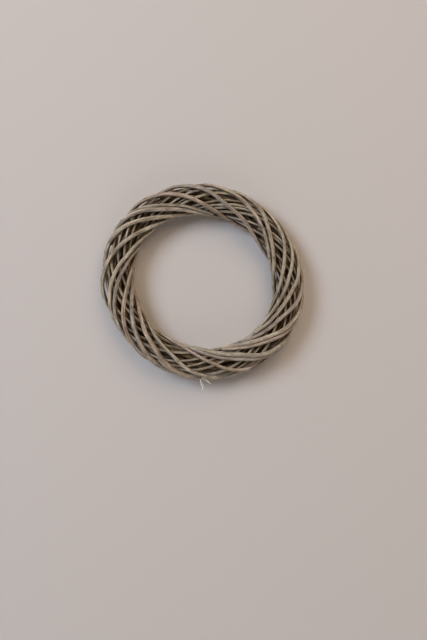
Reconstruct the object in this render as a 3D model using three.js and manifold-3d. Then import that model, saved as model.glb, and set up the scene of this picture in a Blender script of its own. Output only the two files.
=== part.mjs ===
import * as THREE from 'three';
import { mergeVertices } from 'three/addons/utils/BufferGeometryUtils.js';
import Module from 'manifold-3d';

// Willow wreath, about 400 mm across, lying on its back.
// Millimetres, +Z up: the front of the wreath faces +Z and its top points to +Y.
// Every willow rod is one solid. The rods lie in three layers round a ring shaped tube:
// thick rods outside, thin rods wound the other way just under them,
// and a loosely twisted hoop of rods inside, the base they are wound on.

// Ring: the centre line of the tube, a circle made slightly oval
const RING_RADIUS = 167.8;
const RING_OVAL = 6.2;
const RING_LONG_AXIS = -33;

// Outer rods: 20 passes over the front for one turn of the ring, 8 rods side by side
const OUTER_PASSES = 20;
const OUTER_STRANDS = 8;
const OUTER_BED = 24.3;
const OUTER_BUTT = 4.4;
const OUTER_TIP = 3.0;
const OUTER_VARY = 0.3;
const OUTER_STEP = 23;
const OUTER_SIDES = 6;
const OUTER_LIFT = 1.5;

// Crossing rods: 25 passes for one turn of the ring, wound the other way
const CROSS_PASSES = 25;
const CROSS_TURNS = 9;
const CROSS_RODS = 8;
const CROSS_BED = 23.5;
const CROSS_BUTT = 2.6;
const CROSS_TIP = 2.0;
const CROSS_VARY = 0.4;
const CROSS_STEP = 24;
const CROSS_SIDES = 5;
const CROSS_SWAY = 9;

// Hoop rods: 7 slow twists over 6 turns of the ring
const HOOP_TWISTS = 7;
const HOOP_TURNS = 6;
const HOOP_RODS = 5;
const HOOP_BED = 17.0;
const HOOP_BUTT = 4.2;
const HOOP_TIP = 3.2;
const HOOP_STEP = 27;
const HOOP_SIDES = 6;
const HOOP_SWAY = 7;

// Where a rod ends its tip runs beside the butt of the next one
const SIDE_GAP = 0.9;
const SIDE_EASE = 24;

// Spacing of the stations round the ring, in degrees, and the rounds of easing rods apart
const STATION = 3;
const SETTLE_ROUNDS = 80;

// Slant of the cut across the end of a rod
const CUT_SLANT = 0.7;

// Depth of the small flats where the lowest rods rest on a surface
const REST_CUT = 1.0;

// Ring angles, in degrees, at which each outer pass crosses the outer shoulder,
// the front and the inner shoulder of the tube, going clockwise from the left
const SHOULDERS = [40, 90, 140];
const PASS_AT = [
  [191.6, 172.8, 154.3],
  [170.5, 154.1, 135.8],
  [151.2, 136.8, 121.2],
  [137.0, 122.2, 100.3],
  [117.4, 99.1, 80.3],
  [93.7, 76.4, 48.3],
  [69.5, 46.0, 24.5],
  [52.4, 36.0, 14.5],
  [33.7, 15.3, -8.0],
  [19.5, 1.6, -21.3],
  [4.5, -10.9, -36.5],
  [-10.1, -23.8, -49.0],
  [-27.2, -40.9, -60.0],
  [-47.6, -61.8, -83.8],
  [-67.0, -81.8, -99.7],
  [-92.2, -110.0, -136.0],
  [-112.6, -130.0, -151.3],
  [-127.6, -146.3, -166.3],
  [-143.0, -161.3, -179.0],
  [-157.2, -177.6, -197.0],
];

// Outer rods: the winding each one follows, where its butt starts, how far it runs on,
// and to which side it is pushed where it lies beside its neighbour
const OUTER_RODS = [
  { name: 'outer_rod_1', winding: 0, butt: -90, tip: -435, startSide: 1, endSide: -1 },
  { name: 'outer_rod_2', winding: 0, butt: -366, tip: -840, startSide: 1, endSide: -1 },
  { name: 'outer_rod_3', winding: 1, butt: -42, tip: -462, startSide: 1, endSide: -1 },
  { name: 'outer_rod_4', winding: 1, butt: -387, tip: -807, startSide: 1, endSide: -1 },
  { name: 'outer_rod_5', winding: 2, butt: -63, tip: -531, startSide: -1, endSide: -1 },
  { name: 'outer_rod_6', winding: 2, butt: -486, tip: -831, startSide: 1, endSide: 1 },
  { name: 'outer_rod_7', winding: 3, butt: 159, tip: -267, startSide: 1, endSide: 1 },
  { name: 'outer_rod_8', winding: 3, butt: -222, tip: -639, startSide: -1, endSide: -1 },
];
const FRAYED_ROD = 'outer_rod_1';

// One outer rod stands off the rest at the left edge
const LOOSE_ROD = 'outer_rod_4';
const LOOSE_AT = -530;
const LOOSE_SPAN = 16;
const LOOSE_LIFT = 4.6;

// Slivers of the broken butt at the bottom of the wreath: root and tip from the ring centre
const SLIVER_ROOT = [0.5, -194.0];
const SLIVER_TIPS = [[-4.5, -212.5], [16.0, -206.5]];
const SLIVER_RADIUS = 1.0;
const SLIVER_POINT = 0.3;

// Weathered willow: lit bark, the thinner rods in their shade, the darker inner rods
const BARK_COLOURS = ['#998a79', '#a19180', '#948777', '#9c8b78'];
const CROSS_COLOUR = '#8a7f73';
const HOOP_COLOUR = '#5e4f41';

const wasm = await Module();
wasm.setup();

const rad = THREE.MathUtils.degToRad;

function seeded(seed) {
  let state = seed * 7919 + 13;
  return () => {
    state = (state * 16807) % 2147483647;
    return state / 2147483647;
  };
}

// Smooth wandering of about plus or minus one that closes after the given number of turns
function wander(seed, turns) {
  const random = seeded(seed);
  const waves = [1, 2, 3, 4, 5].map((n) => ({
    rate: Math.round(n * turns * 0.7) / turns,
    phase: random() * Math.PI * 2,
    height: 0.45 + 0.3 * random(),
  }));
  return (phi) => waves.reduce((sum, w) => sum + w.height * Math.sin(rad(phi) * w.rate + w.phase), 0) / 1.6;
}

function ringRadius(phi) {
  return RING_RADIUS + RING_OVAL * Math.cos(2 * rad(phi - RING_LONG_AXIS));
}

// Point on the tube at ring angle phi, angle theta round the tube (90 is the front), distance rho
function onTube(phi, theta, rho) {
  const r = ringRadius(phi) + rho * Math.cos(rad(theta));
  return new THREE.Vector3(r * Math.cos(rad(phi)), r * Math.sin(rad(phi)), rho * Math.sin(rad(theta)));
}

// Outer winding: the tube angle as a smooth function of the ring angle through the passes
function outerWinding(winding) {
  const at = [];
  const angle = [];
  for (let n = -2; n < 9; n += 1) {
    const pass = winding + OUTER_STRANDS * n;
    const turn = Math.floor(pass / OUTER_PASSES);
    const row = PASS_AT[pass - turn * OUTER_PASSES];
    row.forEach((phi, i) => {
      at.push(360 * turn - phi);
      angle.push(SHOULDERS[i] + 360 * n);
    });
  }
  const curve = new THREE.CubicInterpolant(new Float32Array(at), new Float32Array(angle), 1);
  return (phi) => curve.evaluate(-phi)[0];
}

function crossWinding() {
  const sway = wander(5, CROSS_TURNS);
  return (phi) => 64 + (CROSS_PASSES / CROSS_TURNS) * phi + CROSS_SWAY * sway(phi);
}

function hoopWinding() {
  const sway = wander(9, HOOP_TURNS);
  return (phi) => 20 - (HOOP_TWISTS / HOOP_TURNS) * phi + HOOP_SWAY * sway(phi);
}

function smooth(x) {
  return THREE.MathUtils.smoothstep(x, 0, 1);
}

// A rod as tube angles at every station round the ring, from its butt to its tip.
// It seats on the outside (1) or the inside (-1) of its bed, the surface between two layers.
function planRod(spec) {
  const { winding, butt, tip, bed, seat, radii, startSide, endSide, startLap, endLap } = spec;
  const middle = bed + (seat * (radii[0] + radii[1])) / 2;
  const apart = (radii[0] + radii[1] + SIDE_GAP) / middle / 0.9;
  const shift = THREE.MathUtils.radToDeg(apart) / 2;
  const count = Math.round((butt - tip) / STATION);
  const stops = [];
  for (let i = 0; i <= count; i += 1) {
    const phi = butt - i * STATION;
    const atButt = 1 - smooth((i * STATION - startLap) / SIDE_EASE);
    const atTip = 1 - smooth(((count - i) * STATION - endLap) / SIDE_EASE);
    const theta = winding(phi) + shift * (startSide * atButt + endSide * atTip);
    const radius = THREE.MathUtils.lerp(radii[0], radii[1], i / count);
    stops.push({ phi, theta, radius, rho: bed + seat * radius, push: 0 });
  }
  return { ...spec, stops };
}

// Angle round the tube that two rods side by side need
function room(a, b, slope) {
  const rho = (a.rho + b.rho) / 2;
  const reach = ringRadius(a.phi) + rho * Math.cos(rad(a.theta));
  const lean = Math.atan((rho * slope) / reach);
  return THREE.MathUtils.radToDeg((a.radius + b.radius + SIDE_GAP) / (rho * Math.cos(lean)));
}

// Rods of one layer that lie too close are eased apart, smoothly along their length
function settle(plans, slope) {
  const perTurn = 360 / STATION;
  const rows = Array.from({ length: perTurn }, () => []);
  plans.forEach((plan) => plan.stops.forEach((stop) => {
    rows[THREE.MathUtils.euclideanModulo(Math.round(stop.phi / STATION), perTurn)].push(stop);
  }));
  for (let round = 0; round < SETTLE_ROUNDS; round += 1) {
    rows.forEach((row) => row.forEach((a, i) => row.slice(i + 1).forEach((b) => {
      const gap = THREE.MathUtils.euclideanModulo(a.theta + a.push - b.theta - b.push + 180, 360) - 180;
      const short = room(a, b, slope) - Math.abs(gap);
      if (short > 0) {
        a.push += 0.5 * short * Math.sign(gap);
        b.push -= 0.5 * short * Math.sign(gap);
      }
    })));
    plans.forEach(({ stops }) => {
      const before = stops.map((stop) => stop.push);
      stops.forEach((stop, i) => {
        const last = before[Math.max(i - 1, 0)];
        const next = before[Math.min(i + 1, stops.length - 1)];
        stop.push = 0.2 * last + 0.6 * before[i] + 0.2 * next;
      });
    });
  }
}

// Centre line of a settled rod, as a curve, with its radius at any share of its length
function layRod({ stops, radii, lift }) {
  const points = stops.map(({ phi, theta, push, rho }) => {
    const angle = theta + push;
    return onTube(phi, angle, rho + (lift ? lift(phi, angle) : 0));
  });
  return {
    curve: new THREE.CatmullRomCurve3(points, false, 'centripetal'),
    radiusAt: (t) => THREE.MathUtils.lerp(radii[0], radii[1], t),
  };
}

// A closed tapered cylinder bent along a centre line
function bendRod(rod, step, sides) {
  const { curve, radiusAt } = rod;
  curve.arcLengthDivisions = 800;
  const length = curve.getLength();
  const steps = Math.round(length / step);
  const frames = curve.computeFrenetFrames(steps, false);
  const spots = curve.getSpacedPoints(steps);
  const geometry = new THREE.CylinderGeometry(1, 1, steps, sides, steps, false);
  const position = geometry.attributes.position;
  const v = new THREE.Vector3();
  for (let i = 0; i < position.count; i += 1) {
    v.fromBufferAttribute(position, i);
    const ring = Math.round(v.y + steps / 2);
    const r = radiusAt(ring / steps);
    const end = ring === 0 || ring === steps ? CUT_SLANT * v.x * r : 0;
    const p = spots[ring].clone();
    p.addScaledVector(frames.normals[ring], v.x * r);
    p.addScaledVector(frames.binormals[ring], -v.z * r);
    p.addScaledVector(frames.tangents[ring], end);
    position.setXYZ(i, p.x, p.y, p.z);
  }
  return bare(geometry);
}

// Positions only, with shared corners
function bare(geometry) {
  geometry.deleteAttribute('normal');
  geometry.deleteAttribute('uv');
  return mergeVertices(geometry, 1e-4);
}

function toSolid(geometry) {
  return new wasm.Manifold(new wasm.Mesh({
    numProp: 3,
    vertProperties: new Float32Array(geometry.attributes.position.array),
    triVerts: new Uint32Array(geometry.index.array),
  }));
}

function toGeometry(solid) {
  const mesh = solid.getMesh();
  const geometry = new THREE.BufferGeometry();
  const corners = new Float32Array(mesh.vertProperties);
  geometry.setAttribute('position', new THREE.BufferAttribute(corners, 3));
  geometry.setIndex(new THREE.BufferAttribute(new Uint32Array(mesh.triVerts), 1));
  return geometry;
}

// Broken slivers fused to the butt of the frayed rod
function frayButt(geometry, rod) {
  let solid = toSolid(geometry);
  const height = rod.curve.getPoint(0).z;
  const root = new THREE.Vector3(SLIVER_ROOT[0], SLIVER_ROOT[1], height + 1);
  SLIVER_TIPS.forEach(([x, y], i) => {
    const end = new THREE.Vector3(x, y, height + 3 - 5 * i);
    const along = end.clone().sub(root);
    const cone = new THREE.CylinderGeometry(SLIVER_POINT, SLIVER_RADIUS, along.length(), 5, 2);
    cone.translate(0, along.length() / 2, 0);
    const turn = new THREE.Quaternion().setFromUnitVectors(new THREE.Vector3(0, 1, 0), along.normalize());
    cone.applyQuaternion(turn);
    cone.translate(root.x, root.y, root.z);
    solid = solid.add(toSolid(bare(cone)));
  });
  return toGeometry(solid);
}

// The extra thickness one rod has grown to, plus or minus the given amount
function grownBy(amount, seed) {
  const random = seeded(seed);
  random();
  return amount * (random() * 2 - 1);
}

// How far an outer rod stands off its bed: a little over the front, more where one is loose
function standOff(name, sway) {
  return (phi, theta) => {
    const front = OUTER_LIFT * Math.max(0, sway(phi)) * smooth(Math.sin(rad(theta)) * 2 + 0.6);
    const loose = name === LOOSE_ROD ? LOOSE_LIFT * Math.exp(-(((phi - LOOSE_AT) / LOOSE_SPAN) ** 2)) : 0;
    return front + loose;
  };
}

const rods = [];

const outerPlans = OUTER_RODS.map((rod, i) => {
  const partner = OUTER_RODS[i % 2 === 0 ? i + 1 : i - 1];
  const grown = grownBy(OUTER_VARY, 40 + i);
  return planRod({
    ...rod,
    winding: outerWinding(rod.winding),
    bed: OUTER_BED,
    seat: 1,
    radii: [OUTER_BUTT + grown, OUTER_TIP + grown],
    startLap: THREE.MathUtils.euclideanModulo(rod.butt - partner.tip, 720),
    endLap: THREE.MathUtils.euclideanModulo(partner.butt - rod.tip, 720),
    lift: standOff(rod.name, wander(20 + i, 1)),
  });
});
settle(outerPlans, OUTER_PASSES / OUTER_STRANDS);
outerPlans.forEach((plan, i) => {
  const laid = layRod(plan);
  let geometry = bendRod(laid, OUTER_STEP, OUTER_SIDES);
  if (plan.name === FRAYED_ROD) {
    geometry = frayButt(geometry, laid);
  }
  rods.push({ name: plan.name, geometry, colour: BARK_COLOURS[i % BARK_COLOURS.length] });
});

// Crossing and hoop rods: equal pieces of one long path, each lapping the next
function layRound(layer) {
  const { name, count, turns, lap, winding, slope, bed, radii, vary, step, sides, colour } = layer;
  const share = (360 * turns) / count;
  const plans = Array.from({ length: count }, (_, i) => planRod({
    winding,
    butt: -share * i,
    tip: -share * (i + 1) - lap,
    bed,
    seat: -1,
    radii: radii.map((radius) => radius + grownBy(vary, 60 + i)),
    startSide: 1,
    endSide: -1,
    startLap: lap,
    endLap: lap,
  }));
  settle(plans, slope);
  plans.forEach((plan, i) => {
    rods.push({ name: `${name}_${i + 1}`, geometry: bendRod(layRod(plan), step, sides), colour });
  });
}

layRound({
  name: 'cross_rod',
  count: CROSS_RODS,
  turns: CROSS_TURNS,
  lap: 39,
  winding: crossWinding(),
  slope: CROSS_PASSES / CROSS_TURNS,
  bed: CROSS_BED,
  radii: [CROSS_BUTT, CROSS_TIP],
  vary: CROSS_VARY,
  step: CROSS_STEP,
  sides: CROSS_SIDES,
  colour: CROSS_COLOUR,
});

layRound({
  name: 'hoop_rod',
  count: HOOP_RODS,
  turns: HOOP_TURNS,
  lap: 36,
  winding: hoopWinding(),
  slope: HOOP_TWISTS / HOOP_TURNS,
  bed: HOOP_BED,
  radii: [HOOP_BUTT, HOOP_TIP],
  vary: 0,
  step: HOOP_STEP,
  sides: HOOP_SIDES,
  colour: HOOP_COLOUR,
});

// The lowest rods are cut flat where the wreath rests
let low = Infinity;
rods.forEach((rod) => {
  rod.geometry.computeBoundingBox();
  low = Math.min(low, rod.geometry.boundingBox.min.z);
});
const rest = low + REST_CUT;
const below = new THREE.BoxGeometry(600, 600, 20);
below.translate(0, 0, rest - 10);
const underside = toSolid(bare(below));
rods.forEach((rod) => {
  if (rod.geometry.boundingBox.min.z < rest) {
    rod.geometry = toGeometry(toSolid(rod.geometry).subtract(underside));
  }
});

const box = new THREE.Box3();
rods.forEach((rod) => {
  rod.geometry.computeBoundingBox();
  box.union(rod.geometry.boundingBox);
});

const group = new THREE.Group();
group.name = 'willow_wreath';
rods.forEach((rod) => {
  rod.geometry.translate(-(box.min.x + box.max.x) / 2, -(box.min.y + box.max.y) / 2, -box.min.z);
  rod.geometry.computeVertexNormals();
  const material = new THREE.MeshStandardMaterial({ color: rod.colour, roughness: 0.85, metalness: 0 });
  const mesh = new THREE.Mesh(rod.geometry, material);
  mesh.name = rod.name;
  group.add(mesh);
});

export default group;
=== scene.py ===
# %% [markdown]
# # A willow wreath
# The real object is a ring of whole willow rods with their bark on, wound round a base of more rods and left to
# dry and go grey. Nothing holds it together but the winding, so the rods are the whole look: thick ones over the
# front, thin ones crossing just under them, and dark gaps that go deep.
# The frame is loaded first. It holds one plain faceted solid for each rod, in metres, and each one is replaced
# below by a finer rod that follows the same line.

# %% Load the frame and keep its solids
import math
import random
import bpy
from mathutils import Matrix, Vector


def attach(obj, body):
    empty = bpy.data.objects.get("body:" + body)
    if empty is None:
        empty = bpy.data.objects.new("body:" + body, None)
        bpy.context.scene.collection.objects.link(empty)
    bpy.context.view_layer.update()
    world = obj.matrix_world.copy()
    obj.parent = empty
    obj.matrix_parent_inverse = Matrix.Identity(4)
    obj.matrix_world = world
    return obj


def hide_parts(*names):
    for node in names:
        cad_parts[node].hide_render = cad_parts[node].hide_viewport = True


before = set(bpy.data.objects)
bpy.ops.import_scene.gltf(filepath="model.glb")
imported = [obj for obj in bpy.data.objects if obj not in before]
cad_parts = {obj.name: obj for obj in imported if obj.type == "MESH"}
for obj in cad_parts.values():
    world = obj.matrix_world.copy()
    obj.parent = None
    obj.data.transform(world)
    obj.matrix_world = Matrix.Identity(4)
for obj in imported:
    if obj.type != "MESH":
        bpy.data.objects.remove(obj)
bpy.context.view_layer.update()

MM = 0.001
names = sorted(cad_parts)
print("rods in the frame:", len(names))

# %% [markdown]
# ## The camera
# The wreath hangs upright in the photograph and lies on its back here, so the camera looks straight down. In the
# picture the wreath is left of the middle and above it. A camera could be turned towards it, but then the ring would
# look squashed, so the lens stays square to the wreath and the camera is moved sideways instead.
# One pixel of the photograph is about 2 mm at the middle of the rods.

# %% Camera straight above, beside the middle of the ring
PIXEL = 2.01 * MM
PICTURE = Vector((427, 640, 0))
RING_IN_PICTURE = Vector((203.0, 281.5, 0))
RING_MIDDLE = Vector((1.36, 8.16, 31.8)) * MM
DISTANCE = 1.8
SENSOR = 36

# rows are counted downwards in a picture, and Y goes upwards
aside = (PICTURE / 2 - RING_IN_PICTURE) * PIXEL
camera_data = bpy.data.cameras.new("photo_camera")
camera_data.sensor_width = SENSOR
camera_data.lens = SENSOR * DISTANCE / (PICTURE.y * PIXEL)
camera = bpy.data.objects.new("photo_camera", camera_data)
bpy.context.scene.collection.objects.link(camera)
camera.location = RING_MIDDLE + Vector((aside.x, -aside.y, DISTANCE))
bpy.context.scene.camera = camera
print("lens in mm:", round(camera_data.lens, 1), "camera at", [round(v, 3) for v in camera.location])

# %% [markdown]
# ## Small helpers
# Blender's edit mode tools act on everything that is selected, so each step starts by selecting nothing, and then
# selects what it means. Colours are written as hex numbers, the way a paint program shows them, and Blender's
# nodes want them linear. These few lines are used all through the file.

# %% Select one object, apply its modifiers, and turn hex colours to linear
def only(piece):
    if bpy.context.object and bpy.context.object.mode != "OBJECT":
        bpy.ops.object.mode_set(mode="OBJECT")
    bpy.ops.object.select_all(action="DESELECT")
    piece.select_set(True)
    bpy.context.view_layer.objects.active = piece


def apply_modifiers(piece):
    only(piece)
    for modifier in list(piece.modifiers):
        bpy.ops.object.modifier_apply(modifier=modifier.name)


def linear(hex_colour):
    channels = [int(hex_colour[i:i + 2], 16) / 255 for i in (1, 3, 5)]
    return [c / 12.92 if c <= 0.04045 else ((c + 0.055) / 1.055) ** 2.4 for c in channels] + [1.0]


print("mid grey is", [round(c, 3) for c in linear("#808080")])

# %% [markdown]
# ## The line of each rod
# The plain solids are many-sided bars, each bent round the ring and closed by a flat cut. Their corners lie in
# rings across the bar, some 25 mm apart, so the middle of each ring is a point on the rod's own line. A merged copy
# of the mesh is read: short edges tie the corners of one ring together, long edges lead on to the next ring. The
# corners that the floor has cut flat are passed over.
# A path could also be drawn afresh by eye, but then it would stray from the solids that the physics uses.

# %% Merge a copy of a node and read its corners and edges
SAME_PLACE = 0.01 * MM
ON_THE_FLOOR = 0.02 * MM


def corners_and_edges(node):
    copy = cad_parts[node].copy()
    copy.data = copy.data.copy()
    bpy.context.scene.collection.objects.link(copy)
    only(copy)
    bpy.ops.object.mode_set(mode="EDIT")
    bpy.ops.mesh.select_all(action="SELECT")
    bpy.ops.mesh.remove_doubles(threshold=SAME_PLACE)
    bpy.ops.object.mode_set(mode="OBJECT")
    corners = [v.co.copy() for v in copy.data.vertices]
    edges = [tuple(e.vertices) for e in copy.data.edges]
    bpy.data.objects.remove(copy)
    edges = [(a, b) for a, b in edges if min(corners[a].z, corners[b].z) > ON_THE_FLOOR]
    return corners, edges


corners, edges = corners_and_edges(names[0])
print(names[0], "has", len(corners), "corners and", len(edges), "edges")

# %% Group the corners into rings and walk from the butt to the tip
# a rod is under 10 mm across, and its rings are some 25 mm apart
ACROSS_A_ROD = 10.5 * MM


def rings_in_order(node):
    corners, edges = corners_and_edges(node)
    leader = list(range(len(corners)))

    def lead(i):
        while leader[i] != i:
            i = leader[i]
        return i

    for a, b in edges:
        if (corners[a] - corners[b]).length < ACROSS_A_ROD:
            leader[lead(a)] = lead(b)
    rings, onward = {}, {}
    for i in {i for edge in edges for i in edge}:
        rings.setdefault(lead(i), []).append(corners[i])
    for a, b in edges:
        if lead(a) != lead(b):
            onward.setdefault(lead(a), set()).add(lead(b))
            onward.setdefault(lead(b), set()).add(lead(a))
    here = [ring for ring in rings if len(onward[ring]) == 1][0]
    line, came = [here], None
    while len(line) < len(rings):
        here, came = [ring for ring in onward[here] if ring != came][0], here
        line.append(here)
    return [rings[ring] for ring in line]


print("rings along the first rod:", len(rings_in_order(names[0])))

# %% The middle and the radius of each ring
# the torn rod has its long slivers in its first ring, so that ring holds more corners than a plain one
TORN_RING = 12
# the bars have four to seven sides
SIDES = range(4, 8)


def middle_and_radius(points, sides):
    if sides % 2 or len(points) > TORN_RING:
        middle = sum(points, Vector()) / len(points)
        return middle, sum((p - middle).length for p in points) / len(points)
    # with an even number of sides, two corners face each other, and the floor's cut leaves one such pair
    width, i, j = max(((a - b).length, i, j) for i, a in enumerate(points) for j, b in enumerate(points) if j < i)
    return (points[i] + points[j]) / 2, width / 2


def rod_line(node):
    rings = rings_in_order(node)
    sides = max(SIDES, key=[len(ring) for ring in rings].count)
    line = [(*middle_and_radius(points, sides), len(points) > TORN_RING) for points in rings]
    if line[1][1] < line[-2][1]:
        line.reverse()
    middles = [middle for middle, _, _ in line]
    if line[0][2]:
        # the torn end's own middle is off, so the line runs on to it in the same curve
        middles[0] = 3 * middles[1] - 3 * middles[2] + middles[3]
    butt, tip, steps = line[1][1], line[-2][1], len(line) - 3
    radii = [butt + (tip - butt) * (k - 1) / steps for k in range(len(line))]
    return middles, radii


lines = {node: rod_line(node) for node in names}
for node in names:
    middles, radii = lines[node]
    length = sum((b - a).length for a, b in zip(middles, middles[1:]))
    print(node, "length", round(length / MM), "mm, radius", round(radii[0] / MM, 2), "to", round(radii[-1] / MM, 2))

# %% [markdown]
# ## One straight rod
# A willow rod is a slim taper with a small bud scar every few centimetres, on one side and then the other, and a
# slanting cut from the secateurs at each end. It is much easier to shape while it is straight: a cylinder is laid
# along X, cut into many short lengths so that it can bend, and sliced at a slant with bisect. Sculpting the bent
# rod would take a hundred times longer and look no better.
# The shape is made once for each layer of the wreath, and every rod starts as its own copy.

# %% Cylinder along X, from 0 to 1 m, cut into short lengths
# one subdivide makes 100 cuts at most, so it is done twice: into some 30 lengths, and then each of them again
BLANKS = {
    "outer": {"radius": 3.7 * MM, "sides": 26, "lengths": (30, 40)},
    "cross": {"radius": 2.3 * MM, "sides": 16, "lengths": (30, 30)},
    "hoop": {"radius": 3.7 * MM, "sides": 16, "lengths": (25, 20)},
}


def straight_rod(name, radius, sides, lengths):
    bpy.ops.object.select_all(action="DESELECT")
    bpy.ops.mesh.primitive_cylinder_add(
        vertices=sides, radius=radius, depth=1.0, location=(0.5, 0, 0), rotation=(0, math.pi / 2, 0))
    rod = bpy.context.object
    rod.name = name
    bpy.ops.object.transform_apply(location=True, rotation=True)
    for count in lengths:
        bpy.ops.object.mode_set(mode="EDIT")
        bpy.ops.mesh.select_mode(type="EDGE")
        bpy.ops.mesh.select_all(action="DESELECT")
        bpy.ops.object.mode_set(mode="OBJECT")
        for edge in rod.data.edges:
            a, b = (rod.data.vertices[i].co for i in edge.vertices)
            edge.select = abs(a.x - b.x) > 1 * MM
        bpy.ops.object.mode_set(mode="EDIT")
        bpy.ops.mesh.subdivide(number_cuts=count - 1)
        bpy.ops.object.mode_set(mode="OBJECT")
    return rod


blanks = {layer: straight_rod(layer + "_blank", **size) for layer, size in BLANKS.items()}
for layer, blank in blanks.items():
    print(layer, "blank has", len(blank.data.polygons), "faces")

# %% [markdown]
# ### Bud scars
# The scars are small swellings, each with a dark spot on top where the bud sat. They could be a bump in the
# material, but from the side a rod would then be dead smooth, so they are real shape. Their places go into a
# vertex group, by the distance along the rod and the side they are on, and a Displace modifier lifts only that
# group. The dark spots go into an attribute, which the bark material reads later.

# %% Weigh the corners near each bud scar
FIRST_BUD = (8 * MM, 25 * MM)
BUD_APART = (24 * MM, 46 * MM)
BUD_TURN = (math.radians(120), math.radians(165))
BUD_SIZE = (0.5, 1.0)
# how far a scar reaches along the rod, and round it in radians
BUD_LENGTH = 3.4 * MM
BUD_WIDTH = 0.6
BUD_PASSED = 9 * MM


def mark_buds(rod, length, rng):
    group = rod.vertex_groups.new(name="buds")
    spots = [0.0] * len(rod.data.vertices)
    buds, x, side = [], rng.uniform(*FIRST_BUD), rng.uniform(0, math.tau)
    while x < length:
        buds.append((x, side, rng.uniform(*BUD_SIZE)))
        x += rng.uniform(*BUD_APART)
        side += rng.uniform(*BUD_TURN)
    first = 0
    for vertex in sorted(rod.data.vertices, key=lambda v: v.co.x):
        while first < len(buds) and buds[first][0] < vertex.co.x - BUD_PASSED:
            first += 1
        swelling = dark = 0.0
        for bud_x, bud_side, size in buds[first:first + 2]:
            along = (vertex.co.x - bud_x) / BUD_LENGTH
            turn = math.remainder(math.atan2(vertex.co.z, vertex.co.y) - bud_side, math.tau)
            near = math.exp(-(turn / BUD_WIDTH) ** 2)
            # a low ring runs right round the rod at each scar, and the dark spot is shorter than the swelling
            swelling = max(swelling, size * (0.3 + 0.7 * near) * math.exp(-along * along))
            dark = max(dark, size * near * math.exp(-3 * along * along))
        spots[vertex.index] = dark
        if swelling > 0.02:
            group.add([vertex.index], swelling, "REPLACE")
    rod.data.attributes.new("bud_spot", "FLOAT", "POINT").data.foreach_set("value", spots)
    return len(buds)


print("bud scars come every 24 to 46 mm, each turned 120 to 165 degrees from the last, as leaves are")

# %% [markdown]
# ### Thick, thin and wrinkled
# A rod is a little thicker here and thinner there, and its bark shrinks into shallow wrinkles as it dries. Two
# Displace modifiers with a cloud texture do that. An empty object, stretched along the rod, guides each texture, so
# its clouds become long and narrow. Every rod gets its own shift, or all of them would wrinkle alike.

# %% Displace by clouds that are stretched along the rod
# the length and the width of a cloud, and how far the clouds lift, as a share of the rod's radius
THICK_AND_THIN = (45 * MM, 9 * MM, 0.34)
DRIED_WRINKLES = (40 * MM, 1.7 * MM, 0.10)
SCAR_HEIGHT = 0.24


def clouds_along(rod, name, along, across, lifting, radius, shift):
    guide = bpy.data.objects.new(name + "_guide", None)
    bpy.context.scene.collection.objects.link(guide)
    guide.location = (shift, 0.1 * shift, 0)
    guide.scale = (along, across, across)
    bpy.context.view_layer.update()
    clouds = bpy.data.textures.new(name, type="CLOUDS")
    clouds.noise_scale = 1.0
    clouds.noise_depth = 2
    lift = rod.modifiers.new(name, "DISPLACE")
    lift.texture, lift.texture_coords, lift.texture_coords_object = clouds, "OBJECT", guide
    lift.strength, lift.mid_level = lifting * radius, 0.5
    return guide, clouds


def swell(rod, radius, rng):
    shift = rng.uniform(-9, 9)
    helpers = [
        clouds_along(rod, "thick_and_thin", *THICK_AND_THIN, radius, shift),
        clouds_along(rod, "dried_wrinkles", *DRIED_WRINKLES, radius, shift + 3),
    ]
    scars = rod.modifiers.new("bud_scars", "DISPLACE")
    scars.strength, scars.mid_level, scars.vertex_group = SCAR_HEIGHT * radius, 0.0, "buds"
    apply_modifiers(rod)
    for guide, clouds in helpers:
        bpy.data.objects.remove(guide)
        bpy.data.textures.remove(clouds)
    rod.vertex_groups.clear()


print("a scar on a thick rod stands", round(SCAR_HEIGHT * BLANKS["outer"]["radius"] / MM, 2), "mm high at most")

# %% [markdown]
# ### Slanting ends
# Secateurs leave a slanting oval of bare wood at each end. The rod could be closed by moving its last corners, but
# bisect is cleaner: it slices with a plane, throws one side away and closes the cut with one face. That face has
# many more corners than the bark's, so it is easy to find and give the second material, bare wood.

# %% Cut both ends at a slant
# a face of the bark has fewer corners than this
BARK_CORNERS = 8
SLANT = 0.7
CUT_BACK = 3 * MM


def cut_ends(rod, start, length, rng):
    for x, sign in ((start, -1), (length - CUT_BACK, 1)):
        only(rod)
        bpy.ops.object.mode_set(mode="EDIT")
        bpy.ops.mesh.select_mode(type="VERT")
        bpy.ops.mesh.select_all(action="SELECT")
        lean = rng.uniform(0, math.tau)
        outward = Vector((sign, SLANT * math.cos(lean), SLANT * math.sin(lean)))
        bpy.ops.mesh.bisect(plane_co=(x, 0, 0), plane_no=outward, use_fill=True, clear_outer=True)
        bpy.ops.object.mode_set(mode="OBJECT")
    for face in rod.data.polygons:
        face.use_smooth = len(face.vertices) < BARK_CORNERS
        face.material_index = 0 if face.use_smooth else 1


print("the cuts lean", round(math.degrees(math.atan(SLANT))), "degrees")

# %% [markdown]
# ### A torn end
# One rod was torn off at the bottom of the wreath, so its end is a brush of short broken fibres, not a flat cut. The
# flat face is inset three times and poked, which gives it rings of corners, and each corner is then pulled out or
# pushed in along the rod by its own amount. The corners on the rim belong to the bark too, and are only pulled out.

# %% Turn the first cut of a rod into torn fibres
# the torn rod stops a little short of its solid, where its slivers take over
TORN_ROD = "outer_rod_1"
TORN_BACK = 8 * MM
FIBRE_RING = 0.9 * MM
RIM_FIBRE = 1.6 * MM
INNER_FIBRE = (-1.5 * MM, 1.0 * MM)
# a few fibres stand out much further than the rest
LONG_FIBRE = 2.5 * MM
TEAR_SEED = 41


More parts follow.
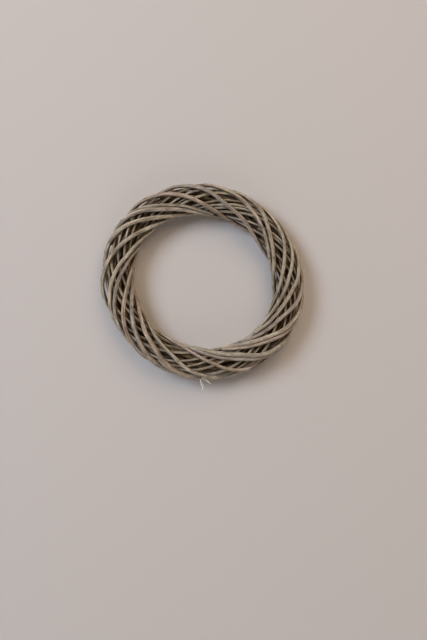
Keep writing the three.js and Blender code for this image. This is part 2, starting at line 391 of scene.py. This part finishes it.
def tear(rod):
    rng = random.Random(TEAR_SEED)
    only(rod)
    bpy.ops.object.mode_set(mode="EDIT")
    bpy.ops.mesh.select_mode(type="FACE")
    bpy.ops.mesh.select_all(action="DESELECT")
    bpy.ops.object.mode_set(mode="OBJECT")
    cuts = [face for face in rod.data.polygons if face.material_index == 1]
    min(cuts, key=lambda face: face.center.x).select = True
    bpy.ops.object.mode_set(mode="EDIT")
    for _ in range(3):
        bpy.ops.mesh.inset(thickness=FIBRE_RING)
    bpy.ops.mesh.poke()
    bpy.ops.object.mode_set(mode="OBJECT")
    bark, torn = set(), set()
    for face in rod.data.polygons:
        if face.material_index == 0:
            bark.update(face.vertices)
        elif face.center.x < 2 * TORN_BACK:
            torn.update(face.vertices)
    for v in sorted(torn):
        pull = rng.uniform(0, RIM_FIBRE) if v in bark else rng.uniform(*INNER_FIBRE) + LONG_FIBRE * rng.random() ** 3
        rod.data.vertices[v].co.x -= pull
    print("the torn fibres end in", len(torn), "corners")


print("fibres stand out by up to", round((INNER_FIBRE[1] + LONG_FIBRE) / MM, 1), "mm")

# %% [markdown]
# ### Laying the bark out flat
# A UV map says where each face of the rod lies on a flat picture. Here nothing is painted on one, but programs that
# can't run Blender's nodes need the bark as a picture, and a long bent rod gets a very coarse one if Blender lays it
# out, because its thin arcs fill little of a square. So the bark is peeled in code while the rod is straight: it is
# slit along one side and cut into strips, which lie one above another and fill the square.

# %% Peel the straight rod into strips
# each strip takes this share of the picture's width and of its own height, and starts this far in
STRIP_SHARE = 0.94
STRIP_START = (0.006, 0.03)
# the cut ends lie in the free column at the right, at the same scale
ENDS_AT = 0.978


def peel(rod, radius, length):
    strips = round(math.sqrt(length / (math.tau * radius)))
    straight = [vertex.co for vertex in rod.data.vertices]
    slit = math.atan2(straight[0].z, straight[0].y)
    turns = [(math.atan2(co.z, co.y) - slit) / math.tau for co in straight]
    ends = {False: [], True: []}
    for face in rod.data.polygons:
        if face.material_index == 1:
            ends[face.center.x > length / 2] += [straight[v] for v in face.vertices]
    flat = []
    for face in rod.data.polygons:
        centre = face.center
        if face.material_index == 1:
            far = centre.x > length / 2
            middle = sum(ends[far], Vector()) / len(ends[far])
            for v in face.vertices:
                across = (straight[v] - middle) * STRIP_SHARE / (math.tau * radius * strips)
                flat += [ENDS_AT + across.y, (far + 0.5) / strips + across.z]
            continue
        strip = min(strips - 1, max(0, int(centre.x / length * strips)))
        turn = (math.atan2(centre.z, centre.y) - slit) / math.tau % 1.0
        for v in face.vertices:
            along = straight[v].x / length * strips - strip
            round_rod = turn + math.remainder(turns[v] - turn, 1.0)
            flat.append(STRIP_START[0] + STRIP_SHARE * along)
            flat.append((strip + STRIP_START[1] + STRIP_SHARE * round_rod) / strips)
    rod.data.uv_layers.new(name="OFBake").uv.foreach_set("vector", flat)


print("the bark fills about", round(100 * STRIP_SHARE ** 2), "% of its picture")

# %% [markdown]
# ## Bending a rod into place
# A Curve modifier carries a straight mesh round a curve: X runs along the curve, Y and Z across it. The curve here
# has a point on every ring that was read above, with its radius, which gives the taper. Each point is moved by up
# to half a millimetre, because no rod runs dead true.
# Before the rod is bent, each corner's straight place is stored in an attribute. The bark material reads it, so the
# grain runs along the rod however the rod turns.

# %% Curve through the middles of the rings
STRAY = 0.45 * MM


def path_curve(name, middles, radii, blank_radius, rng):
    data = bpy.data.curves.new(name, "CURVE")
    data.dimensions, data.twist_mode, data.resolution_u = "3D", "MINIMUM", 16
    data.use_radius, data.use_stretch, data.use_deform_bounds = True, False, False
    spline = data.splines.new("BEZIER")
    spline.bezier_points.add(len(middles) - 1)
    for point, middle, radius in zip(spline.bezier_points, middles, radii):
        point.co = middle + Vector([rng.uniform(-STRAY, STRAY) for _ in range(3)])
        point.radius = radius / blank_radius
        point.handle_left_type = point.handle_right_type = "AUTO"
    curve = bpy.data.objects.new(name, data)
    bpy.context.scene.collection.objects.link(curve)
    bpy.context.view_layer.update()
    return curve, spline.calc_length()


print("the points of a path stray by up to", round(STRAY / MM, 2), "mm each way")

# %% [markdown]
# ### Bleached outside, brown and painted shade inside
# Sun and rain reach the side of a rod that faces out of the ring and bleach it, and the side that faces the dark
# inside keeps its brown. The same brown also paints shade: bark that faces inwards or lies deep in the tube is
# darker, which stands in for the shade in the gaps. A dark inside could also be left to the shadows, but then every
# rod would look new and evenly grey from the side. So a second attribute says how far each spot faces out of the
# tube, and how near the outside it lies. The lowest part of the ring is painted lighter right through, which stands
# in for light that reaches the gaps there.

# %% How far each spot of bark faces out of the ring
RING_RADIUS = 167.8 * MM
RING_OVAL = 6.2 * MM
LONG_AXIS = math.radians(-33)
# how far below the middle of the ring the painted lightening starts, and where it is full
BOTTOM_BAND = (105 * MM, 165 * MM)
# for most of the ring and for its lowest part: how far out of the tube's middle circle the bark starts to turn pale
# and is fully pale, deeper bark keeping painted shade, and the same for the way it faces, from -1, straight inwards,
# to 1, straight outwards
RING_DEPTH, BOTTOM_DEPTH = (14 * MM, 25 * MM), (1 * MM, 12 * MM)
RING_FACING, BOTTOM_FACING = (-0.5, 0.6), (-1.9, -0.7)
# deep in the tube even bark that faces outwards gets this little of its pale colour, as painted shade
DEEP_SHARE = 0.25


def step(value, low, high):
    share = min(1.0, max(0.0, (value - low) / (high - low)))
    return share * share * (3 - 2 * share)


def part_way(first, second, share):
    return [a + (b - a) * share for a, b in zip(first, second)]


def paint_bleach_and_shade(rod):
    values = []
    for vertex in rod.data.vertices:
        from_centre = vertex.co - RING_MIDDLE
        angle = math.atan2(from_centre.y, from_centre.x)
        radius = RING_RADIUS + RING_OVAL * math.cos(2 * (angle - LONG_AXIS))
        core = Vector((radius * math.cos(angle), radius * math.sin(angle), 0))
        out = from_centre - core
        facing = vertex.normal.dot(out) / out.length
        # painted light: the lowest part of the ring turns pale right through, standing in for light that reaches the
        # gaps there
        bottom_share = step(-from_centre.y, *BOTTOM_BAND)
        depth = step(out.length, *part_way(RING_DEPTH, BOTTOM_DEPTH, bottom_share))
        facing = step(facing, *part_way(RING_FACING, BOTTOM_FACING, bottom_share))
        # painted shade: bark that faces inwards or lies deep in the tube gets a low value, and so the brown
        values.append(facing * (DEEP_SHARE + (1 - DEEP_SHARE) * depth))
    rod.data.attributes.new("bleach_and_shade", "FLOAT", "POINT").data.foreach_set("value", values)


print("the tube's middle circle is", round(RING_RADIUS / MM, 1), "mm from the centre of the ring")

# %% [markdown]
# ### The bend itself
# The attribute with the straight places has to be made before the modifier is applied, and the bleaching with its
# painted shade after it, when the rod is where it belongs. A rod that lies on the table is pressed flat there:
# whatever would sink below z = 0 is scaled to nothing in height, which keeps the mesh closed.

# %% Store the straight places, bend, and flatten what would sink into the floor
def bend(rod, curve, offset):
    place = rod.data.attributes.new("straight_place", "FLOAT_VECTOR", "POINT")
    for entry, vertex in zip(place.data, rod.data.vertices):
        entry.vector = vertex.co + Vector((offset, 0, 0))
    along = rod.modifiers.new("along_the_path", "CURVE")
    along.object, along.deform_axis = curve, "POS_X"
    apply_modifiers(rod)
    bpy.data.objects.remove(curve)
    paint_bleach_and_shade(rod)
    bpy.ops.object.mode_set(mode="EDIT")
    bpy.ops.mesh.select_all(action="DESELECT")
    bpy.ops.object.mode_set(mode="OBJECT")
    sunk = 0
    for vertex in rod.data.vertices:
        vertex.select = vertex.co.z < 0
        sunk += vertex.select
    if sunk:
        bpy.ops.object.mode_set(mode="EDIT")
        bpy.ops.transform.resize(value=(1, 1, 0), center_override=(0, 0, 0))
        bpy.ops.object.mode_set(mode="OBJECT")
    return sunk


print("the longest path has", max(len(middles) for middles, _ in lines.values()), "points to bend along")

# %% Make every rod from its node
FIRST_SEED = 300


def make_rod(node, seed):
    rng = random.Random(seed)
    layer = node.split("_")[0]
    radius = BLANKS[layer]["radius"]
    curve, length = path_curve(node + "_path", *lines[node], radius, rng)
    rod = blanks[layer].copy()
    rod.data = rod.data.copy()
    rod.name = rod.data.name = "willow_" + node
    bpy.context.scene.collection.objects.link(rod)
    only(rod)
    rod.scale = (length, 1, 1)
    bpy.ops.object.transform_apply(scale=True)
    buds = mark_buds(rod, length, rng)
    swell(rod, radius, rng)
    # two empty material slots, the first for the bark and the second for the bare wood
    rod.data.materials.append(None)
    rod.data.materials.append(None)
    cut_ends(rod, TORN_BACK if node == TORN_ROD else CUT_BACK, length, rng)
    if node == TORN_ROD:
        tear(rod)
    peel(rod, radius, length)
    sunk = bend(rod, curve, rng.uniform(0, 50))
    print(rod.name, len(rod.data.polygons), "faces,", buds, "bud scars,", sunk, "corners pressed flat")
    return rod


rods = {node: make_rod(node, FIRST_SEED + number) for number, node in enumerate(names)}
for blank in blanks.values():
    bpy.data.objects.remove(blank)

# %% [markdown]
# ## The broken butt
# At the bottom of the wreath one rod was torn, not cut: two pale slivers peel away from its end, with a fringe of
# short ones between them. A bent strip could be stuck on the end, but then its blunt foot would show from the side.
# So a sliver is a thin cone with eight sides, pressed flat and cut into slices, and each slice is moved to its place
# on a line that starts inside the rod, follows the grain out of the torn face and then turns away.

# %% Where the torn face is, and two ways to say a place near it
middles = lines[TORN_ROD][0]
outward = (middles[0] - middles[1]).normalized()
sideways = outward.cross(Vector((0, 0, 1))).normalized()
torn_face = middles[0] - outward * TORN_BACK


def on_face(side, up, out):
    return torn_face + (sideways * side + Vector((0, 0, up)) + outward * out) * MM


def from_middle(x, y, z):
    return RING_MIDDLE + Vector((x, y, z)) * MM


print("torn face at", [round(v / MM, 1) for v in torn_face - RING_MIDDLE], "from the ring's middle")

# %% A sliver that leaves the wood along the grain and then bends once
SLICES = 22
FLATNESS = 0.36
TIP_SHARE = 0.16
# the first fifth of a sliver is hidden in the wood, and is narrower
HIDDEN = 0.2
HIDDEN_DEPTH = 6 * MM
HIDDEN_WIDTH = 0.55


def sliver(name, leaves_at, bend_at, tip, width, wobble):
    bpy.ops.object.select_all(action="DESELECT")
    bpy.ops.mesh.primitive_cone_add(
        vertices=8, radius1=width / 2, radius2=TIP_SHARE * width, depth=1.0, location=(0, 0, 0.5))
    piece = bpy.context.object
    piece.name = name
    bpy.ops.object.transform_apply(location=True)
    bpy.ops.object.mode_set(mode="EDIT")
    bpy.ops.mesh.select_all(action="SELECT")
    bpy.ops.transform.resize(value=(1, FLATNESS, 1), center_override=(0, 0, 0))
    for number in range(1, SLICES):
        bpy.ops.mesh.select_all(action="SELECT")
        bpy.ops.mesh.bisect(plane_co=(0, 0, number / SLICES), plane_no=(0, 0, 1))
    bpy.ops.object.mode_set(mode="OBJECT")
    for vertex in piece.data.vertices:
        along = min(1.0, max(0.0, vertex.co.z))
        t = (along - HIDDEN) / (1 - HIDDEN)
        if t < 0:
            place, onward = leaves_at - outward * HIDDEN_DEPTH * (1 - along / HIDDEN), outward
        else:
            place = (1 - t) ** 2 * leaves_at + 2 * t * (1 - t) * bend_at + t ** 2 * tip
            onward = (1 - t) * (bend_at - leaves_at) + t * (tip - bend_at)
        # a coarse and a fine wave make the edges ragged, and a slow one makes the sliver sway
        ragged = 1 + 0.14 * math.sin(29 * t + wobble) + 0.10 * math.sin(67 * t + 3 * wobble)
        ragged *= HIDDEN_WIDTH + (1 - HIDDEN_WIDTH) * step(t, -0.1, 0.25)
        sway = 0.12 * width * math.sin(9 * t + wobble)
        across = Vector((ragged * vertex.co.x + sway, vertex.co.y, 0))
        vertex.co = place + onward.to_track_quat("Z", "Y") @ across
    return piece


print("a sliver has", SLICES, "slices of 8 corners")

# %% Seven slivers from the torn face
# where each leaves the wood and where it bends, from the torn face, then its tip, its width in mm and its wobble
SLIVERS = {
    "sliver_down": ((2.2, 0.4, -0.5), (4.5, 2.5, 4), from_middle(-0.8, -217, 13), 3.5, 0.4),
    "sliver_down_split": ((2.6, -0.6, -1), (3.6, -0.8, 5), from_middle(3, -213, 1), 1.7, 2.1),
    "sliver_right": ((-0.6, 1.2, -0.5), (0.2, 4.5, 8), from_middle(16.3, -205.2, 15), 2.8, 1.2),
    "sliver_low": ((0.8, -1.6, -1.5), (1.2, -2.2, 5), from_middle(7, -203, -8), 2.2, 3.3),
    "sliver_upper": ((-2.4, 0.4, -0.5), (-2.6, 0.6, 5), from_middle(7, -196, -2), 2.0, 4.0),
    "sliver_stub": ((0.4, 0.8, -1), (0.5, 1, 2), on_face(1.2, 2, 6), 2.4, 5.2),
    "sliver_chip": ((1.6, -1.2, -1.5), (1.8, -1, 1), on_face(3, -1.6, 4.5), 2.2, 0.9),
}
SHARP = math.radians(40)
slivers = []
for name, (leaves, bends, tip, width, wobble) in SLIVERS.items():
    slivers.append(sliver(name, on_face(*leaves), on_face(*bends), tip, width * MM, wobble))
bpy.ops.object.select_all(action="DESELECT")
for piece in slivers:
    piece.select_set(True)
bpy.context.view_layer.objects.active = slivers[0]
bpy.ops.object.join()
broken_end = slivers[0]
broken_end.name = "broken_butt_slivers"
bpy.ops.object.shade_smooth_by_angle(angle=SHARP)
print(len(slivers), "slivers have", len(broken_end.data.polygons), "faces")

# %% [markdown]
# ## Willow bark
# Cut willow left outdoors turns from brown to a silvery grey-buff. Close to, each rod has fine lines along its
# length, paler and darker patches a few centimetres long, and small dark specks, the lenticels that it breathed
# through. No two rods are quite the same: some lean to cream, some to pink, olive or plain grey.
# A picture of bark could be wrapped round a rod, but it would repeat and blur close to. Noise that is stretched
# along the rod never repeats, and each kind of mark gets its real size.
# The bark is dry and dull, so roughness is high and there is almost no shine. The fine lines are also used as bump.
# Every node is added by one function. It is told the kind of node, what goes into each socket, which is a number, a
# colour or what another node gives, and which of the new node's own outputs to hand back. Other settings go by name.

# %% One function that adds a node with its settings and its links
def add(tree, kind, inputs, out=0, stops=(), **settings):
    node = tree.nodes.new(kind)
    for name, value in settings.items():
        setattr(node, name, value)
    for socket, value in inputs.items():
        if isinstance(value, bpy.types.NodeSocket):
            tree.links.new(value, node.inputs[socket])
        else:
            node.inputs[socket].default_value = value
    if stops:
        band = node.color_ramp.elements
        while len(band) < len(stops):
            band.new(0.5)
        for element, (position, colour) in zip(band, stops):
            element.position, element.color = position, linear(colour)
    return node.outputs[out] if node.outputs else None


def new_material(name):
    material = bpy.data.materials.new(name)
    material.use_nodes = True
    material.node_tree.nodes.clear()
    return material, material.node_tree


print("kinds of node in Blender:", sum(name.startswith("ShaderNode") for name in dir(bpy.types)))

# %% The marks on bark, with their real sizes
# how far each reaches along the rod and round it in mm, and how many finer layers of noise it holds
MARKS = {
    "patches": (26, 6, 2.0),
    "mottles": (9, 4, 2.0),
    "streaks": (70, 2.6, 2.0),
    "grain": (25, 0.9, 2.0),
    # the rod's own tint comes and goes slowly
    "tint": (80, 30, 1.0),
    # hair cracks are 0.1 mm wide: drawn 0.4 mm wide so that they show
    "cracks": (34, 0.8, 1.0),
}
# lenticels are dots under 1 mm: drawn 1.3 mm long, in cells of 9 by 5 mm, so that they show
LENTICEL_CELL = (9 * MM, 5 * MM, 5 * MM)
# what the marks are used for: the mark, its values that count as lowest and highest, and what these turn into
USES = {
    "streak_shade": ("streaks", 0.36, 0.64, 0.68, 1.20),
    "grain_shade": ("grain", 0.30, 0.70, 0.76, 1.16),
    "mottle_shade": ("mottles", 0.36, 0.64, 0.84, 1.16),
    "crack_shade": ("cracks", 0.62, 0.68, 1.00, 0.62),
    "tint_share": ("tint", 0.42, 0.62, 0.00, 0.60),
    "uneven": ("patches", 0.30, 0.70, -0.12, 0.12),
    "roughness": ("patches", 0.30, 0.70, 0.90, 0.74),
    "dots": ("lenticels", 0.08, 0.16, 0.50, 0.00),
    "bud_marks": ("bud_spot", 0.15, 0.70, 0.00, 0.60),
}


BUD_BROWN = "#4d3d2e"
WOOD_IOR = 1.46
LOW_SHINE = 0.3


def bark_marks(tree):
    place = add(tree, "ShaderNodeAttribute", {}, "Vector", attribute_name="straight_place")
    marks = {}
    for mark, (along, across, detail) in MARKS.items():
        at = add(tree, "ShaderNodeVectorMath", {0: place, 1: (along * MM, across * MM, across * MM)},
                 operation="DIVIDE")
        marks[mark] = add(tree, "ShaderNodeTexNoise",
                          {"Vector": at, "Scale": 1.0, "Detail": detail, "Roughness": 0.6}, "Fac")
    at = add(tree, "ShaderNodeVectorMath", {0: place, 1: LENTICEL_CELL}, operation="DIVIDE")
    marks["lenticels"] = add(tree, "ShaderNodeTexVoronoi", {"Vector": at, "Scale": 1.0}, "Distance")
    for name in ("bud_spot", "bleach_and_shade"):
        marks[name] = add(tree, "ShaderNodeAttribute", {}, "Fac", attribute_name=name)
    for use, (mark, low, high, first, last) in USES.items():
        marks[use] = add(tree, "ShaderNodeMapRange", {
            "Value": marks[mark], "From Min": low, "From Max": high, "To Min": first, "To Max": last})
    return marks


print(len(MARKS), "kinds of noise are used in", len(USES), "ways")

# %% Bark from four colours, and the brown that it keeps inside
def willow_bark(name, dark, middle, light, tint, inner_brown_and_shade="#4c3a26"):
    material, tree = new_material(name)
    marks = bark_marks(tree)
    base = add(tree, "ShaderNodeValToRGB", {0: marks["patches"]},
               stops=[(0.34, dark), (0.50, middle), (0.66, light)])
    base = add(tree, "ShaderNodeMix", {0: marks["tint_share"], 6: base, 7: linear(tint)}, 2, data_type="RGBA")
    shade = marks["streak_shade"]
    for more in ("grain_shade", "mottle_shade", "crack_shade"):
        shade = add(tree, "ShaderNodeMath", {0: shade, 1: marks[more]}, operation="MULTIPLY")
    base = add(tree, "ShaderNodeVectorMath", {0: base, "Scale": shade}, operation="SCALE")
    # the side that faces into the ring has kept its brown, with an uneven edge; the same brown paints the shade
    # inside the ring and deep in the tube
    edge = add(tree, "ShaderNodeMath", {0: marks["bleach_and_shade"], 1: marks["uneven"]}, operation="ADD")
    brown = add(tree, "ShaderNodeMapRange", {
        "Value": edge, "From Min": 0.0, "From Max": 0.75, "To Min": 0.88, "To Max": 0.0})
    base = add(tree, "ShaderNodeMix", {0: brown, 6: base, 7: linear(inner_brown_and_shade)}, 2, data_type="RGBA")
    specks = add(tree, "ShaderNodeMath", {0: marks["dots"], 1: marks["bud_marks"]}, operation="MAXIMUM")
    base = add(tree, "ShaderNodeMix", {0: specks, 6: base, 7: linear(BUD_BROWN)}, 2, data_type="RGBA")
    # streaks, grain and cracks are ridges, and the lenticels are pits
    height = add(tree, "ShaderNodeMath", {0: marks["grain"], 1: marks["crack_shade"]}, operation="ADD")
    height = add(tree, "ShaderNodeMath", {0: marks["streaks"], 1: height}, operation="ADD")
    height = add(tree, "ShaderNodeMath", {0: height, 1: marks["dots"]}, operation="SUBTRACT")
    bump = add(tree, "ShaderNodeBump", {"Strength": 0.8, "Distance": 0.2 * MM, "Height": height})
    shader = add(tree, "ShaderNodeBsdfPrincipled", {
        "Base Color": base, "Roughness": marks["roughness"], "IOR": WOOD_IOR, "Specular IOR Level": LOW_SHINE,
        "Normal": bump})
    add(tree, "ShaderNodeOutputMaterial", {"Surface": shader})
    return material


# thick rods: bark weathered in the open, so they look dull and silvery, and each leans to a colour of its own
barks = [
    willow_bark("weathered_willow_buff", "#928676", "#b8ad9d", "#d3c9ba", "#b0ab99"),
    willow_bark("weathered_willow_grey", "#897f73", "#ada499", "#c8bfb4", "#b8a89c"),
    willow_bark("weathered_willow_cream", "#9a8e7e", "#c1b6a5", "#dbd1c0", "#b8ae9b"),
    willow_bark("weathered_willow_rose", "#918174", "#b7a699", "#d1c1b4", "#bbac96"),
]
# thin rods: younger bark, a little browner, and darker as painted shade from the thick rods over them, so that the
# thick rods stand out from them
thin_barks = [
    willow_bark("thin_willow_grey", "#7e7367", "#a59b8d", "#c6beb1", "#ada496"),
    willow_bark("thin_willow_brown", "#6c5d4b", "#968773", "#b9ac99", "#9f9682"),
    willow_bark("thin_willow_buff", "#887b68", "#b1a48e", "#d1c5b1", "#aba892"),
]
# rods inside: bark that the sun never reached, darker still as painted shade, so that the gaps look deep
inner_barks = [
    willow_bark("inner_willow_brown", "#463623", "#6a563e", "#8b775d", "#73634a", "#362714"),
    willow_bark("inner_willow_grey", "#574936", "#7d6f5b", "#9e907b", "#85775e", "#433420"),
]
print("bark materials:", [bark.name for bark in barks + thin_barks + inner_barks])

# %% [markdown]
# ## Bare wood
# Where a rod is cut or torn, its wood shows. Willow wood is nearly white when fresh and goes to a warm cream. On a
# cut end the pith is a brown dot, too small to see here, so the wood only gets a soft grain. The slivers lie more or
# less along Y, so the pattern is stretched that way, and reads the piece's own Object coordinates.

# %% Cream wood for the cut ends and the slivers
# fibres about 0.5 mm apart, drawn at 0.8 mm so that they show, and 6 mm long
FIBRE = (0.8 * MM, 6 * MM, 0.8 * MM)


def willow_wood(name, dark, light):
    material, tree = new_material(name)
    place = add(tree, "ShaderNodeTexCoord", {}, "Object")
    at = add(tree, "ShaderNodeVectorMath", {0: place, 1: FIBRE}, operation="DIVIDE")
    fibres = add(tree, "ShaderNodeTexNoise", {"Vector": at, "Scale": 1.0, "Detail": 2.0}, "Fac")
    base = add(tree, "ShaderNodeValToRGB", {0: fibres}, stops=[(0.3, dark), (0.65, light)])
    bump = add(tree, "ShaderNodeBump", {"Strength": 0.5, "Distance": 0.1 * MM, "Height": fibres})
    shader = add(tree, "ShaderNodeBsdfPrincipled", {
        "Base Color": base, "Roughness": 0.8, "IOR": WOOD_IOR, "Specular IOR Level": LOW_SHINE, "Normal": bump})
    add(tree, "ShaderNodeOutputMaterial", {"Surface": shader})
    return material


# cut with secateurs and darkened by the air, so the ends look like small tan ovals
cut_wood = willow_wood("cut_willow_wood", "#8f7355", "#c4a883")
# torn open lately, so the slivers are the whitest thing on the wreath
torn_wood = willow_wood("torn_willow_wood", "#f0e9da", "#fffcf5")
print("wood materials:", cut_wood.name, torn_wood.name)

# %% [markdown]
# ## Dressing the rods
# Each thick rod takes one of four barks, each thin one of three, and the rods inside take two darker ones, so that
# no two neighbours look cut from the same stick. The darkness of the inner barks is painted shade for the inside of
# the ring. Every rod then stands for its own solid in the frame.

# %% Give each rod its bark and hand it to the frame
for number, node in enumerate(names):
    layer = node.split("_")[0]
    rod = rods[node]
    rod.data.materials[0] = {
        "outer": barks[number * 3 % 4], "cross": thin_barks[number % 3], "hoop": inner_barks[number % 2]}[layer]
    rod.data.materials[1] = torn_wood if node == TORN_ROD else cut_wood
    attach(rod, "root")
    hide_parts(node)
broken_end.data.materials.append(torn_wood)
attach(broken_end, "root")
print("all rods together have", sum(len(rod.data.polygons) for rod in rods.values()), "faces")

# %% [markdown]
# ## Floor and light
# The photograph has two soft lights. A cool one, a window, stands to the upper left and leaves a short warm shade
# right of the ring. A warm one, near the ceiling, leaves a longer and greyer shade below the top of the ring. Next
# to nothing comes from elsewhere, so the slots go nearly black. Two large area lights do the same, with a weak one
# for what the room gives back from below. The world is a plain room: pale walls low down, which is what a low
# camera sees behind the wreath, and a dim warm ceiling. One bright world alone would light every slot from all
# sides and lose the shadows. The floor is plain and pale, with no shine, so that the shadows lie soft on it.

# %% Plain pale floor
FLOOR_SIZE = 6
bpy.ops.object.select_all(action="DESELECT")
bpy.ops.mesh.primitive_plane_add(size=FLOOR_SIZE, location=(0, 0, 0))
floor = bpy.context.object
floor.name = "floor"
floor_material, tree = new_material("matt_pale_floor")
shader = add(tree, "ShaderNodeBsdfPrincipled", {"Base Color": linear("#d9d7d8"), "Roughness": 0.9})
add(tree, "ShaderNodeOutputMaterial", {"Surface": shader})
floor.data.materials.append(floor_material)
print("floor of", FLOOR_SIZE, "m at z =", floor.location.z)

# %% Three large soft lights, all 6 m away
LIGHT_DISTANCE = 6


def area_light(name, direction, size, power, colour):
    data = bpy.data.lights.new(name, "AREA")
    data.shape, data.size, data.energy, data.color = "DISK", size, power, linear(colour)[:3]
    light = bpy.data.objects.new(name, data)
    bpy.context.scene.collection.objects.link(light)
    light.location = LIGHT_DISTANCE * Vector(direction)
    light.rotation_euler = (-light.location).to_track_quat("-Z", "Y").to_euler()
    print(name, "of", power, "W at", [round(v, 2) for v in light.location])


area_light("window_light", (-0.58, 0.335, 0.74), 3.0, 186, "#e6f1ff")
area_light("ceiling_light", (0.25, 0.58, 0.775), 4.9, 137, "#ffe0bc")
area_light("glow_from_below", (0.1, -0.8, 0.6), 3.8, 42, "#f4ecec")

# %% A room with pale walls and a dim warm ceiling
# the walls reach 7 degrees above the floor, and the ceiling starts at 25 degrees
world = bpy.data.worlds.new("soft_room")
bpy.context.scene.world = world
world.use_nodes = True
tree = world.node_tree
direction = add(tree, "ShaderNodeTexCoord", {}, "Generated")
upward = add(tree, "ShaderNodeSeparateXYZ", {0: direction}, "Z")
room = add(tree, "ShaderNodeValToRGB", {0: upward}, stops=[(0.12, "#c8c1ba"), (0.42, "#625648")])
tree.links.new(room, tree.nodes["Background"].inputs["Color"])
bpy.context.scene.view_settings.view_transform = "Standard"
print("world:", world.name, "view transform:", bpy.context.scene.view_settings.view_transform)

# %% [markdown]
